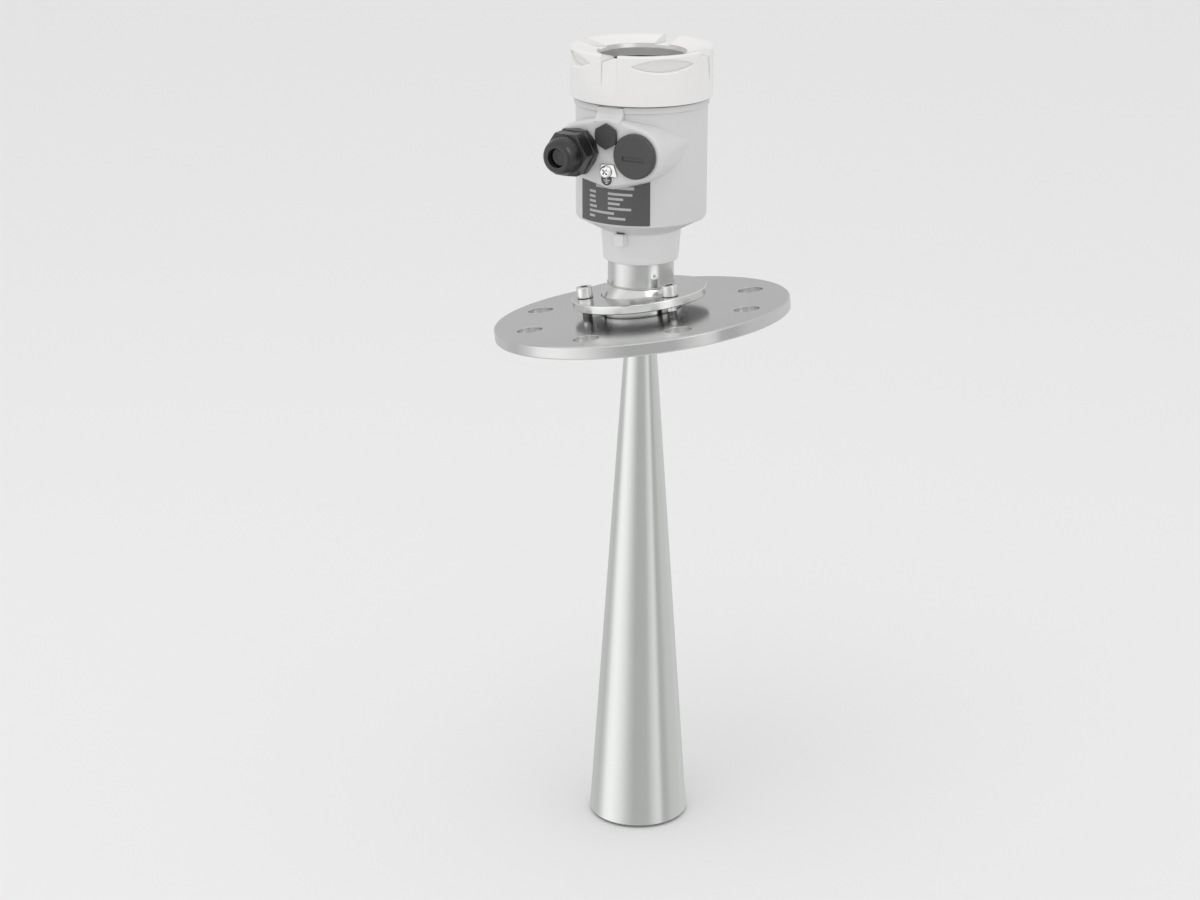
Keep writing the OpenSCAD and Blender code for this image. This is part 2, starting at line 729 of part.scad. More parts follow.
module lid() {
  color("whitesmoke") in_head() difference() {
    rotate_extrude() polygon([
      [0, lid_z], [lid_r - 0.6, lid_z], [lid_r, lid_z + 0.6], [lid_r, lid_top - 1.2],
      [lid_r - 0.4, lid_top - 0.4], [lid_r - 1.2, lid_top], [lid_r - 3.5, lid_top - 0.2],
      [recess_r, recess_z], [recess_wall_r, recess_z - 2.4], [0, recess_z - 2.4]
    ]);
    rotate_extrude() polygon([
      [0, lid_z - eps], [lid_seal_ring_r + lid_seal_r + free_gap, lid_z - eps],
      [lid_seal_ring_r + lid_seal_r + free_gap, lid_seal_z + lid_seal_r + 0.4],
      [lid_bore_r, lid_seal_z + lid_seal_r + 1.6],
      [lid_bore_r, lid_bore_z], [lid_boss_r, lid_bore_z], [lid_boss_r, retainer_z - 0.5],
      [window_bore_r, retainer_z - 0.5], [window_bore_r, gasket_z], [recess_wall_r, gasket_z],
      [recess_wall_r, recess_z + eps], [0, recess_z + eps]
    ]);
    for (i = [0 : 3]) rotate([0, 0, i * 90]) {
      slot_cut();
      rotate([0, 0, 45]) facet_cut();
    }
  }
}

module window_gasket() {
  color("dimgray") in_head() translate([0, 0, gasket_z - gasket_t])
    tube(glass_r, recess_wall_r + 0.4, gasket_t);
}

module window_glass() {
  color("lightcyan", 0.5) in_head() translate([0, 0, glass_z]) chamfered_disc(glass_r, glass_t, 0.4);
}

module window_retainer() {
  color("gray") in_head() translate([0, 0, retainer_z]) difference() {
    tube(window_bore_r - seat_gap, recess_wall_r + 0.4, retainer_h);
    for (a = [0, 180]) rotate([0, 0, a]) translate([window_bore_r - 3, -1.5, -eps]) cube([6, 3, 2.5]);
  }
}

module electronics_cup() {
  color("#30343a") in_head() difference() {
    translate([0, 0, ledge_z]) chamfered_disc(cavity_r - 0.3, cup_top - ledge_z, 1);
    translate([0, 0, ledge_z - eps])
      cylinder(r = guide_r + free_gap, h = guide_top - ledge_z + free_gap + eps);
  }
}

module terminal_block() {
  color("seagreen") in_head() translate([-20, 2, cup_top]) difference() {
    cube([40, 16, 13]);
    for (i = [0 : 4]) translate([4 + i * 8, 0, 0]) {
      translate([0, 10, 8]) cylinder(r = 2.6, h = 8);
      translate([-2.4, -1, 2]) cube([4.8, 7, 4.6]);
    }
  }
}

module terminal_screws() {
  color("silver") in_head() for (i = [0 : 4]) translate([-16 + i * 8, 12, cup_top + 8]) difference() {
    cylinder(r = 2.4, h = 3);
    translate([-3, -0.4, 2.2]) cube([6, 0.8, 2]);
  }
}

module display_posts() {
  color("gray") in_head() for (a = post_angles)
    rotate([0, 0, a]) translate([post_circle_r, 0, cup_top]) cylinder(r = 2.5, h = post_top - cup_top);
}

module display_module() {
  color("#202326") in_head() difference() {
    translate([0, 0, post_top]) chamfered_disc(display_r, display_h, 0.8);
    translate([-screen_w / 2, screen_y - screen_d / 2, display_top - screen_drop])
      cube([screen_w, screen_d, screen_drop + eps]);
    for (i = [0 : 3]) translate([key_pitch * (i - 1.5), key_y, display_top - key_well])
      cylinder(r = key_r + free_gap, h = key_well + eps);
  }
}

module display_screen() {
  pane = [screen_w - 0.2, screen_d - 0.2, screen_drop - 0.8];
  color("darkseagreen") in_head()
    translate([-pane[0] / 2, screen_y - pane[1] / 2, display_top - screen_drop]) cube(pane);
}

module key(i) {
  color("lightgray") in_head() translate([key_pitch * (i - 2.5), key_y, display_top + key_rise - key_h])
    chamfered_disc(key_r, key_h, 0.4);
}

flange();
clamp_ring();
clamp_screws();
ball_seal();
upper_seat();
swivel_ball();
neck_tube();
neck_seal();
retaining_ring();
horn();
waveguide();
throat_cone();
housing();
label();
lid_seal();
gland_gasket();
gland_body();
gland_seal();
gland_nut();
plug_gasket();
blind_plug();
vent_plug();
vent_seal();
ground_screw();
ground_clamp();
ground_tag();
lid();
window_gasket();
window_glass();
window_retainer();
electronics_cup();
terminal_block();
terminal_screws();
display_posts();
display_module();
display_screen();
key(1);  // key_1
key(2);  // key_2
key(3);  // key_3
key(4);  // key_4
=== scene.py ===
import json
import math

import bpy
from mathutils import Euler, Matrix, Vector


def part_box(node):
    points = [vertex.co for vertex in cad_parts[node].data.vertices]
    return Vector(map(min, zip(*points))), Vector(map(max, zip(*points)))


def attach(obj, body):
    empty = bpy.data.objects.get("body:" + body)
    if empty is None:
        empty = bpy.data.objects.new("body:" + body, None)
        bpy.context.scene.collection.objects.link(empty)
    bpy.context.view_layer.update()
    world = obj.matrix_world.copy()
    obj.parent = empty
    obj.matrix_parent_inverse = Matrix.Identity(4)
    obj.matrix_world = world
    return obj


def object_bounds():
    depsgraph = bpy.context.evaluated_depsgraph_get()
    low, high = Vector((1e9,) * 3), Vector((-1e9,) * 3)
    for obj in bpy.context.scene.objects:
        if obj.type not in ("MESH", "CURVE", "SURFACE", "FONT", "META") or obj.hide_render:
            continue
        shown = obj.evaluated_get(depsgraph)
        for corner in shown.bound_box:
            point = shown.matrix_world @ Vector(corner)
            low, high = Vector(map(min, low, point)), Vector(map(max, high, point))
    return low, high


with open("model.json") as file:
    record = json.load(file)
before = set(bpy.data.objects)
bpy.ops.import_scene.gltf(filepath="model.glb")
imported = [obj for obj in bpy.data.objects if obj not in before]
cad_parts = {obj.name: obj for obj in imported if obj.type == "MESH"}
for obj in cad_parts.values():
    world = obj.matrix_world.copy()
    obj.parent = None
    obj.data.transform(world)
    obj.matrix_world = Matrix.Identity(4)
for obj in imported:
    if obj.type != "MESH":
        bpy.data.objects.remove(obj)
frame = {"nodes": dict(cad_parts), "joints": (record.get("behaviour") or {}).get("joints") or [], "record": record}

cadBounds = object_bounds()
joints = {joint["name"]: joint for joint in frame["joints"]}
mounts = {mount["name"]: mount for mount in frame["record"]["mounts"]}
ball = Vector(joints["swivel_tilt"]["pos_m"])  # the swivel's centre, on the head's axis
flangeUp = Vector(joints["swivel_turn"]["axis"])
entry = Vector(mounts["cable_entry"]["pos_m"])
lean = math.atan2(flangeUp.x, flangeUp.z)  # of the flange, about y
print("frame loaded:", len(frame["nodes"]), "nodes")


class Wire:  # one socket, with the sums it can take part in
    def __init__(self, network, socket):
        self.network = network
        self.socket = socket

    def maths(self, operation, first, second=0.0):
        return self.network.node("ShaderNodeMath", {"operation": operation}, {0: first, 1: second})

    def __add__(self, other):
        return self.maths("ADD", self, other)

    def __radd__(self, other):
        return self.maths("ADD", other, self)

    def __sub__(self, other):
        return self.maths("SUBTRACT", self, other)

    def __rsub__(self, other):
        return self.maths("SUBTRACT", other, self)

    def __mul__(self, other):
        return self.maths("MULTIPLY", self, other)

    def __rmul__(self, other):
        return self.maths("MULTIPLY", other, self)

    def __truediv__(self, other):
        return self.maths("DIVIDE", self, other)

    def __gt__(self, other):  # 1 where this is more than the other
        return self.maths("GREATER_THAN", self, other)

    def __lt__(self, other):
        return self.maths("LESS_THAN", self, other)

    def apply(self, operation, other=0.0):  # any other Math operation, by its name
        return self.maths(operation, self, other)

    def fade(self, low, high):  # 0 at low, 1 at high, smooth between them
        return self.network.node(
            "ShaderNodeMapRange", {"interpolation_type": "SMOOTHSTEP"},
            {"Value": self, "From Min": low, "From Max": high},
        )

    def between(self, low, high):
        return (self > low) * (self < high)


edgeLook = {"samples": 6, "softened": (0.02, 0.2)}  # for the nodes that feel for edges and gaps


class Network:  # the nodes of one material, or of the world
    def __init__(self, tree):
        self.tree = tree

    def node(self, kind, settings=None, sockets=None, output=0):
        made = self.tree.nodes.new(kind)
        for name, value in (settings or {}).items():
            if name == "stops":
                self.setStops(made.color_ramp, value)
            else:
                setattr(made, name, value)
        for name, value in (sockets or {}).items():
            self.feed(made.inputs[name], value)
        return Wire(self, made.outputs[output])

    def setStops(self, ramp, stops):
        while len(ramp.elements) < len(stops):
            ramp.elements.new(0.5)
        for element, (place, colour) in zip(ramp.elements, stops):
            element.position = place
            element.color = colour

    def feed(self, socket, value):
        if isinstance(value, Wire):
            self.tree.links.new(value.socket, socket)
        else:
            socket.default_value = value

    def place(self, centre=(0, 0, 0), turn=(0, 0, 0)):  # object coordinates from a centre, turned
        coordinates = self.node("ShaderNodeTexCoord", output="Object")
        moved = self.node(
            "ShaderNodeMapping", {"vector_type": "POINT"},
            {"Vector": coordinates, "Location": [-value for value in centre]},
        )
        return self.node("ShaderNodeMapping", {"vector_type": "POINT"}, {"Vector": moved, "Rotation": turn})

    def split(self, vector):
        outputs = self.node("ShaderNodeSeparateXYZ", sockets={"Vector": vector}).socket.node.outputs
        return [Wire(self, outputs[index]) for index in range(3)]

    def join(self, x, y, z):
        return self.node("ShaderNodeCombineXYZ", sockets={0: x, 1: y, 2: z})

    def reach(self, x, y, z=0.0):  # how far a point is from the centre
        return self.node("ShaderNodeVectorMath", {"operation": "LENGTH"}, {0: self.join(x, y, z)}, "Value")

    def dot(self, first, second):
        return self.node("ShaderNodeVectorMath", {"operation": "DOT_PRODUCT"}, {0: first, 1: second}, "Value")

    def noise(self, vector, scale, detail=2.0, roughness=0.5):
        return self.node("ShaderNodeTexNoise", sockets={
            "Vector": vector, "Scale": scale, "Detail": detail, "Roughness": roughness,
        })

    def angle(self, across, along):  # round an axis, 0 where across is 0, in radians
        return self.node("ShaderNodeMath", {"operation": "ARCTAN2"}, {0: across, 1: along})

    def tint(self, amount, first, second, blend="MIX"):  # a colour between two colours
        settings = {"data_type": "RGBA", "blend_type": blend}
        return self.node("ShaderNodeMix", settings, {0: amount, 6: first, 7: second}, 2)

    def level(self, amount, first, second):  # a number between two numbers
        return self.node("ShaderNodeMix", {"data_type": "FLOAT"}, {0: amount, 2: first, 3: second})

    def uneven(self, middle, amount, pattern):  # a number that wanders by an amount in all
        return middle + (pattern - 0.5) * amount

    def bump(self, height, distance, strength=1.0, under=None):
        sockets = {"Height": height, "Distance": distance, "Strength": strength}
        if under:
            sockets["Normal"] = under
        return self.node("ShaderNodeBump", sockets=sockets)

    def openness(self, reach, low=0.1, high=0.75):  # 0 deep in a gap, 1 where nothing is near
        settings = {"samples": edgeLook["samples"]}
        free = self.node("ShaderNodeAmbientOcclusion", settings, {"Distance": reach}, "AO")
        return free.fade(low, high)

    def softEdges(self, radius):  # edges shade as if they were rounded off
        return self.node("ShaderNodeBevel", {"samples": edgeLook["samples"]}, {"Radius": radius})

    def onEdges(self, soft):  # 1 where the softened normal leaves the real one
        real = self.node("ShaderNodeNewGeometry", output="Normal")
        agree = self.dot(soft, real)
        return (1 - agree).fade(*edgeLook["softened"])


class Finish(Network):  # one material
    def __init__(self, name, constants):
        self.material = bpy.data.materials.new(name)
        self.material.use_nodes = True
        super().__init__(self.material.node_tree)
        self.shader = self.tree.nodes["Principled BSDF"]
        for socket, value in constants.items():
            self.shader.inputs[socket].default_value = value

    def surface(self, sockets):  # what varies over the surface goes to the shader here
        for socket, value in sockets.items():
            self.feed(self.shader.inputs[socket], value)

    def clouded(self, pattern, colour, shades):  # a colour that wanders between two shades of itself
        return self.tint(pattern, shaded(colour, shades[0]), shaded(colour, shades[1]))


def grey(level, warmth=0.0):
    return (level * (1 + warmth), level, level * (1 - warmth), 1)


def shaded(colour, share):
    return [min(1, channel * share) for channel in colour[:3]] + [1]


coatLook = {
    "shine": 0.4, "cloud": 18, "shades": (0.98, 1.02), "uneven": 0.1,
    "grain": 1500, "grainDepth": 0.00003, "grainBump": 0.3,
    "edge": 0.0005, "edgePaintedLight": 1.09, "gap": 0.0014, "gapOpens": (0.15, 0.75), "gapShade": 0.45,
}


def coatColour(coat, place, colour, soft):  # clouded a little, with a painted highlight on its edges and painted shade in gaps and hollows
    cloud = coat.noise(place, coatLook["cloud"], 3)
    clouded = coat.clouded(cloud, colour, coatLook["shades"])
    # painted highlight: its edges are lighter, as if lit
    edged = coat.tint(coat.onEdges(soft), clouded, shaded(colour, coatLook["edgePaintedLight"]))
    # painted shade: darker in gaps, creases and where parts meet
    openness = coat.openness(coatLook["gap"], *coatLook["gapOpens"])
    return cloud, coat.tint(openness, shaded(colour, coatLook["gapShade"]), edged)


def coatBump(coat, place, soft):
    grain = coat.noise(place, coatLook["grain"], 2)
    return coat.bump(grain, coatLook["grainDepth"], coatLook["grainBump"], soft)


neckPaintedLight = {"low": 0.060, "high": 0.064, "paler": 1.2}


def powderCoat(name, colour, roughness=0.4):  # its neck is painted a little paler, as painted light
    coat = Finish(name, {"Specular IOR Level": coatLook["shine"]})
    place = coat.place()
    z = coat.split(place)[2]
    soft = coat.softEdges(coatLook["edge"])
    cloud, painted = coatColour(coat, place, colour, soft)
    # painted light: paler below the neck's top
    neck = 1 - z.fade(neckPaintedLight["low"], neckPaintedLight["high"])
    coat.surface({
        "Base Color": coat.tint(neck, painted, grey(neckPaintedLight["paler"]), "MULTIPLY"),
        "Roughness": coat.uneven(roughness, coatLook["uneven"], cloud),
        "Normal": coatBump(coat, place, soft),
    })
    return coat.material


recessLook = {
    "radius": 0.0273, "bottom": 0.156, "colour": (0.62, 0.61, 0.595, 1), "metal": 0.3, "roughness": 0.3,
}
edgeShadowLook = {"height": 0.00045, "shade": 0.2}
facetLook = {
    "floor": 0.0384, "middle": 0.006,  # how far out its flat is, and how far below the lid's top
    "arc": 0.0485, "rise": 0.0444,  # its lower edge's radius, and that arc's centre above its middle
    "paintedHighlight": (0.0003, 0.0011), "shade": 1.12,
}


def lidCoat(name, colour, roughness=0.38):  # coated all over but for the turned metal of the window's recess
    coat = Finish(name, {"Specular IOR Level": coatLook["shine"]})
    low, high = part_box("lid")
    place = coat.place((ball.x, 0, 0))
    x, y, z = coat.split(place)
    bare = (coat.reach(x, y) < recessLook["radius"]) * (z > recessLook["bottom"])
    edgeShadow = z < low.z + edgeShadowLook["height"]  # a painted shadow line along its lower edge, where it meets the collar
    wide, deep = x.apply("ABSOLUTE"), y.apply("ABSOLUTE")  # one finger facet stands for all four
    out, across = (wide + deep) * math.sqrt(0.5), (wide - deep) * math.sqrt(0.5)
    drop = high.z - facetLook["middle"] - z
    past = coat.reach(across, drop + facetLook["rise"]) - facetLook["arc"]  # how far below the facet's edge
    # painted highlight along the lower edge of each finger facet
    ledgeHighlight = (out > facetLook["floor"]) * (drop > 0) * (1 - past.fade(*facetLook["paintedHighlight"]))
    soft = coat.softEdges(coatLook["edge"])
    cloud, painted = coatColour(coat, place, colour, soft)
    painted = coat.tint(ledgeHighlight, painted, shaded(colour, facetLook["shade"]))
    painted = coat.tint(edgeShadow, painted, shaded(colour, edgeShadowLook["shade"]))
    smoother = bare * (roughness - recessLook["roughness"])
    coat.surface({
        "Base Color": coat.tint(bare, painted, recessLook["colour"]),
        "Roughness": coat.uneven(roughness, coatLook["uneven"], cloud) - smoother,
        "Metallic": bare * recessLook["metal"],
        "Normal": coatBump(coat, place, soft),
    })
    return coat.material


steelLook = {
    "colour": (0.62, 0.628, 0.618, 1), "shades": (0.97, 1.02), "rings": (2600, 3, 0.7), "ringShare": 0.3,
    "ringDepth": 0.000001, "ringBump": 0.2, "cloud": 45, "uneven": 0.04, "edge": 0.00035,
    "gap": 0.004, "gapShade": 0.28, "darkShade": 0.2,
}


def turnedSteel(name, turn=(0, 0, 0), roughness=0.2, colour=steelLook["colour"], darkBand=None):
    steel = Finish(name, {"Metallic": 1.0})  # faint rings about z
    place = steel.place(ball, turn)
    z = steel.split(place)[2]
    rings = steel.noise(steel.join(0.0, 0.0, z), *steelLook["rings"])
    cloud = steel.noise(place, steelLook["cloud"], 3)
    mixed = rings * steelLook["ringShare"] + cloud * (1 - steelLook["ringShare"])
    plain = steel.clouded(mixed, colour, steelLook["shades"])
    if darkBand:  # darker from one height to another, along its thread
        plain = steel.tint(z.between(*darkBand), plain, shaded(colour, steelLook["darkShade"]))
    # painted shade: darker in gaps and under things
    openness = steel.openness(steelLook["gap"])
    steel.surface({
        "Base Color": steel.tint(openness, shaded(colour, steelLook["gapShade"]), plain),
        "Roughness": steel.uneven(roughness, steelLook["uneven"], cloud),
        "Normal": steel.bump(
            rings, steelLook["ringDepth"], steelLook["ringBump"], steel.softEdges(steelLook["edge"])
        ),
    })
    return steel.material


facedLook = {
    "stretch": 0.5, "stretchTurn": 0.25, "shades": (0.96, 1.02), "cloud": 22.5, "uneven": 0.06,
    "ringBump": 0.25, "gapOpens": (0.05, 0.7), "rimPaintedLight": 1.3,
}
holeLook = {"circle": 0.0725, "radius": 0.0083, "count": 8, "colour": (0.75, 0.75, 0.74, 1), "metal": 0.92}


def facedSteel(name, gap, roughness, colour=steelLook["colour"], under=-1, rim=1):  # rings about its axis
    steel = Finish(name, {
        "Anisotropic": facedLook["stretch"], "Anisotropic Rotation": facedLook["stretchTurn"],
    })
    place = steel.place(ball, (0, -lean, 0))
    x, y, z = steel.split(place)
    reach = steel.reach(x, y)
    rings = steel.noise(steel.join(reach, 0.0, 0.0), *steelLook["rings"])
    cloud = steel.noise(place, facedLook["cloud"], 4)
    plain = steel.clouded(cloud, colour, facedLook["shades"])
    # painted highlight: the turned rim is lighter
    plain = steel.tint(reach > rim, plain, shaded(colour, facedLook["rimPaintedLight"]))
    plain = steel.tint(z < under, plain, shaded(colour, steelLook["darkShade"]))  # painted shade on its underside, where it faces the flange
    # painted shade: darker in gaps and under the ring
    openness = steel.openness(gap, *facedLook["gapOpens"])
    plain = steel.tint(openness, shaded(colour, steelLook["gapShade"]), plain)
    step = math.tau / holeLook["count"]  # one drilled hole stands for all: the plate is folded into eighths
    folded = ((steel.angle(y, x) / step + 0.5).apply("FRACT") - 0.5) * step
    across = reach * folded.apply("SINE")
    out = reach * folded.apply("COSINE") - holeLook["circle"]
    drilled = steel.reach(out, across) < holeLook["radius"]
    steel.surface({
        "Base Color": steel.tint(drilled, plain, holeLook["colour"]),
        "Metallic": 1 - drilled * (1 - holeLook["metal"]),
        "Roughness": steel.uneven(roughness, facedLook["uneven"], cloud),
        "Normal": steel.bump(
            rings, steelLook["ringDepth"], facedLook["ringBump"], steel.softEdges(steelLook["edge"])
        ),
    })
    return steel.material


plasticLook = {
    "cloud": 90, "shades": (0.92, 1.08), "uneven": 0.1,
    "grain": 2600, "grainDepth": 0.000015, "grainBump": 0.3,
    "edge": 0.0004, "edgePaintedLight": 2.6, "edgeMost": 0.9,  # its edges are never paler than that
    "gap": 0.002, "gapOpens": (0.05, 0.7), "gapShade": 0.35,
}


def plastic(name, level, roughness=0.4, shine=0.5, paintedHighlight=0.0):
    moulded = Finish(name, {"Specular IOR Level": shine})
    place = moulded.place()
    grain = moulded.noise(place, plasticLook["grain"], 2)
    cloud = moulded.noise(place, plasticLook["cloud"], 2)
    soft = moulded.softEdges(plasticLook["edge"])
    clouded = moulded.clouded(cloud, grey(level), plasticLook["shades"])
    # painted highlight: its edges are lighter, as if lit
    edgeLevel = min(plasticLook["edgeMost"], level * plasticLook["edgePaintedLight"] + paintedHighlight)
    edged = moulded.tint(moulded.onEdges(soft), clouded, grey(edgeLevel))
    # painted shade: darker in gaps and hollows
    openness = moulded.openness(plasticLook["gap"], *plasticLook["gapOpens"])
    moulded.surface({
        "Base Color": moulded.tint(openness, grey(level * plasticLook["gapShade"]), edged),
        "Roughness": moulded.uneven(roughness, plasticLook["uneven"], grain),
        "Normal": moulded.bump(grain, plasticLook["grainDepth"], plasticLook["grainBump"], soft),
    })
    return moulded.material


rubberLook = {
    "shine": 0.3, "dust": 500, "shades": (1, 1.6), "roughness": 0.775, "uneven": 0.15, "dustDepth": 0.00003,
    "dustBump": 0.3,
}


def rubber(name, level=0.02):
    black = Finish(name, {"Specular IOR Level": rubberLook["shine"]})
    dust = black.noise(black.place(), rubberLook["dust"], 4)
    black.surface({
        "Base Color": black.clouded(dust, grey(level), rubberLook["shades"]),
        "Roughness": black.uneven(rubberLook["roughness"], rubberLook["uneven"], dust),
        "Normal": black.bump(dust, rubberLook["dustDepth"], rubberLook["dustBump"]),
    })
    return black.material


glassLook = {
    "roughness": 0.02, "index": 1.5, "smear": 40, "colours": ((0.93, 0.96, 0.95, 1), (0.97, 0.985, 0.98, 1)),
}


def plainGlass(name):
    glass = Finish(name, {
        "Roughness": glassLook["roughness"], "IOR": glassLook["index"], "Transmission Weight": 1.0,
    })
    smear = glass.noise(glass.place(), glassLook["smear"], 3)
    glass.surface({"Base Color": glass.tint(smear, *glassLook["colours"])})
    return glass.material


# the type plate: a plain bar for its title, and two columns of plain bars, in degrees round the barrel
plateLook = {
    "shine": 0.5, "roughness": 0.42, "face": 0.09, "bar": 0.52, "shades": (0.95, 1.05), "cloud": 60,
    "fleck": 1800, "faded": 0.25, "fleckHeight": 0.3, "inkDepth": 0.00002, "inkBump": 0.2,
    "title": (-15, 21, 0.0937, 0.0018), "topRow": 0.0897, "rowStep": 0.00298, "barHeight": 0.0015,
    "names": (-22.7, [7.5, 7, 7.5, 8.5, 26, 6.5]), "values": (-2.5, [22, 14, 11, 21, 0, 16]),
}


def typePlate(name):
    plate = Finish(name, {"Specular IOR Level": plateLook["shine"], "Roughness": plateLook["roughness"]})
    place = plate.place((ball.x, 0, 0))
    x, y, z = plate.split(place)
    around = plate.angle(x, 0 - y) * math.degrees(1)
    left, right, height, size = plateLook["title"]
    bars = around.between(left, right) * z.between(height - size / 2, height + size / 2)
    for start, lengths in (plateLook["names"], plateLook["values"]):
        for row, length in enumerate(lengths):
            height = plateLook["topRow"] - row * plateLook["rowStep"]
            if length:
                band = z.between(height - plateLook["barHeight"] / 2, height + plateLook["barHeight"] / 2)
                bars = bars + around.between(start, start + length) * band
    fleck = plate.noise(place, plateLook["fleck"], 2)
    cloud = plate.noise(place, plateLook["cloud"], 2)
    face = plate.clouded(cloud, grey(plateLook["face"]), plateLook["shades"])
    inked = bars * (1 - plateLook["faded"] + plateLook["faded"] * fleck)
    raised = bars + plateLook["fleckHeight"] * fleck
    plate.surface({
        "Base Color": plate.tint(inked, face, grey(plateLook["bar"])),
        "Normal": plate.bump(raised, plateLook["inkDepth"], plateLook["inkBump"]),
    })
    return plate.material


tagLook = {
    "shine": 0.5, "roughness": 0.45, "dark": 0.06, "pale": 0.75, "shades": (0.95, 1), "cloud": 400,
    "rim": 0.00055, "sideFrom": -0.0001, "reliefDepth": 0.00003, "reliefBump": 0.3,
    "stroke": 0.0005, "stem": 0.0014, "arms": (0.0021, 0.0014, 0.0007), "firstArm": -0.0002, "armStep": 0.001,
}


def groundTag(name):  # a dark tag with a pale rim and the plain earth sign
    tag = Finish(name, {"Specular IOR Level": tagLook["shine"], "Roughness": tagLook["roughness"]})
    low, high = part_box("ground_tag")
    radius = (high.x - low.x) / 2
    place = tag.place(((low.x + high.x) / 2, 0, low.z + radius))
    x, y, z = tag.split(place)
    lower = (z < 0.0) * (tag.reach(x, z) > radius - tagLook["rim"])
    side = (z > tagLook["sideFrom"]) * (x.apply("ABSOLUTE") > radius - tagLook["rim"])
    half = tagLook["stroke"] / 2
    sign = x.between(-half, half) * z.between(0.0, tagLook["stem"])
    for step, arm in enumerate(tagLook["arms"]):
        height = tagLook["firstArm"] - step * tagLook["armStep"]
        sign = sign + x.between(-arm, arm) * z.between(height - half, height + half)
    pale = (lower + side + sign).apply("MINIMUM", 1.0)
    cloud = tag.noise(place, tagLook["cloud"], 2)
    bright = tag.clouded(cloud, grey(tagLook["pale"]), tagLook["shades"])
    tag.surface({
        "Base Color": tag.tint(pale, grey(tagLook["dark"]), bright),
        "Normal": tag.bump(pale, tagLook["reliefDepth"], tagLook["reliefBump"]),
    })
    return tag.material


faceLook = {
    "shine": 0.5, "levels": (0.028, 0.036), "grain": 3000, "grainDepth": 0.00002, "grainBump": 0.3,
    "roughness": 0.5, "uneven": 0.1,
}


def printedFace(name):  # the display unit's face
    face = Finish(name, {"Specular IOR Level": faceLook["shine"]})
    grain = face.noise(face.place(), faceLook["grain"], 2)
    soft = face.softEdges(plasticLook["edge"])
    face.surface({
        "Base Color": face.tint(grain, grey(faceLook["levels"][0]), grey(faceLook["levels"][1])),
        "Roughness": face.uneven(faceLook["roughness"], faceLook["uneven"], grain),
        "Normal": face.bump(grain, faceLook["grainDepth"], faceLook["grainBump"], soft),
    })
    return face.material


paneLook = {
    "roughness": 0.12, "coat": 0.6, "coatRoughness": 0.05, "dots": 2600,
    "colours": ((0.20, 0.27, 0.14, 1), (0.27, 0.35, 0.2, 1)),
}


def liquidCrystal(name):
    pane = Finish(name, {
        "Roughness": paneLook["roughness"], "Coat Weight": paneLook["coat"],
        "Coat Roughness": paneLook["coatRoughness"],
    })
    rows, columns = [
        (line * paneLook["dots"]).apply("SINE").apply("ABSOLUTE") for line in pane.split(pane.place())[:2]
    ]
    pane.surface({"Base Color": pane.tint(rows * columns, *paneLook["colours"])})
    return pane.material


brightSteel = (0.78, 0.78, 0.775, 1)
coats = {
    "faced": facedSteel("facedSteel", 0.007, 0.17),
    "ring": facedSteel("ringSteel", 0.003, 0.15, shaded(steelLook["colour"], 1.03), under=0.0036, rim=0.042),
    "turned": turnedSteel("turnedSteel"),
    "horn": turnedSteel("hornSteel", colour=(0.66, 0.675, 0.66, 1)),
    "screw": turnedSteel("screwSteel", roughness=0.16, colour=brightSteel),
    "clamp": turnedSteel("clampSteel", (0, -lean, 0), 0.16, brightSteel, darkBand=(-0.004, -0.0002)),
    "thread": turnedSteel("threadSteel", (0, -lean, 0), 0.3, (0.2, 0.2, 0.195, 1)),
    "bead": turnedSteel("beadSteel", roughness=0.32, colour=(0.56, 0.55, 0.53, 1)),
    "body": powderCoat("bodyCoat", grey(0.70)),
    "lid": lidCoat("lidCoat", grey(0.86, 0.008)),
    "black": plastic("blackNylon", 0.011, 0.28, 0.7, paintedHighlight=0.14),
    "plug": plastic("greyNylon", 0.056, 0.42),
    "vent": plastic("ventNylon", 0.045, 0.45),
    "module": plastic("modulePlastic", 0.03),
    "face": printedFace("displayFace"),
    "screen": liquidCrystal("displayPane"),
    "ink": plastic("crystalInk", 0.02, 0.3),
    "label": typePlate("plateFace"),
    "tag": groundTag("tagFace"),
    "rubber": rubber("sealRubber"),
    "insert": rubber("insertRubber", 0.11),
    "keys": rubber("keyRubber", 0.12),
    "white": plastic("whitePtfe", 0.8, 0.5),
    "glass": plainGlass("windowGlass"),
    "green": plastic("terminalGreen", 0.2),
    "brass": turnedSteel("guideBrass", colour=(0.72, 0.56, 0.3, 1)),
}
wearing = {
    "faced": ["flange"],
    "ring": ["clamp_ring"],
    "turned": ["swivel_ball", "neck_tube", "retaining_ring", "window_retainer", "display_posts"],
    "horn": ["horn"],
    "screw": ["ground_screw", "ground_clamp", "terminal_screws"],
    "clamp": ["clamp_screws"],
    "body": ["housing"],
    "lid": ["lid"],
    "black": ["gland_body", "gland_nut"],
    "plug": ["blind_plug"],
    "vent": ["vent_plug"],
    "module": ["electronics_cup"],
    "face": ["display_module"],
    "screen": ["display_screen"],
    "label": ["label"],
    "tag": ["ground_tag"],
    "rubber": [
        "ball_seal", "neck_seal", "lid_seal", "gland_gasket", "plug_gasket", "vent_seal", "window_gasket",
    ],
    "insert": ["gland_seal"],
    "keys": ["key_1", "key_2", "key_3", "key_4"],
    "white": ["upper_seat", "throat_cone"],
    "glass": ["window_glass"],
    "green": ["terminal_block"],
    "brass": ["waveguide"],
}
for coat, names in wearing.items():
    for name in names:
        mesh = frame["nodes"][name].data
        mesh.materials.clear()
        mesh.materials.append(coats[coat])
print("finishes made:", len(coats))


def selectOnly(piece):
    bpy.ops.object.select_all(action="DESELECT")
    piece.select_set(True)
    bpy.context.view_layer.objects.active = piece


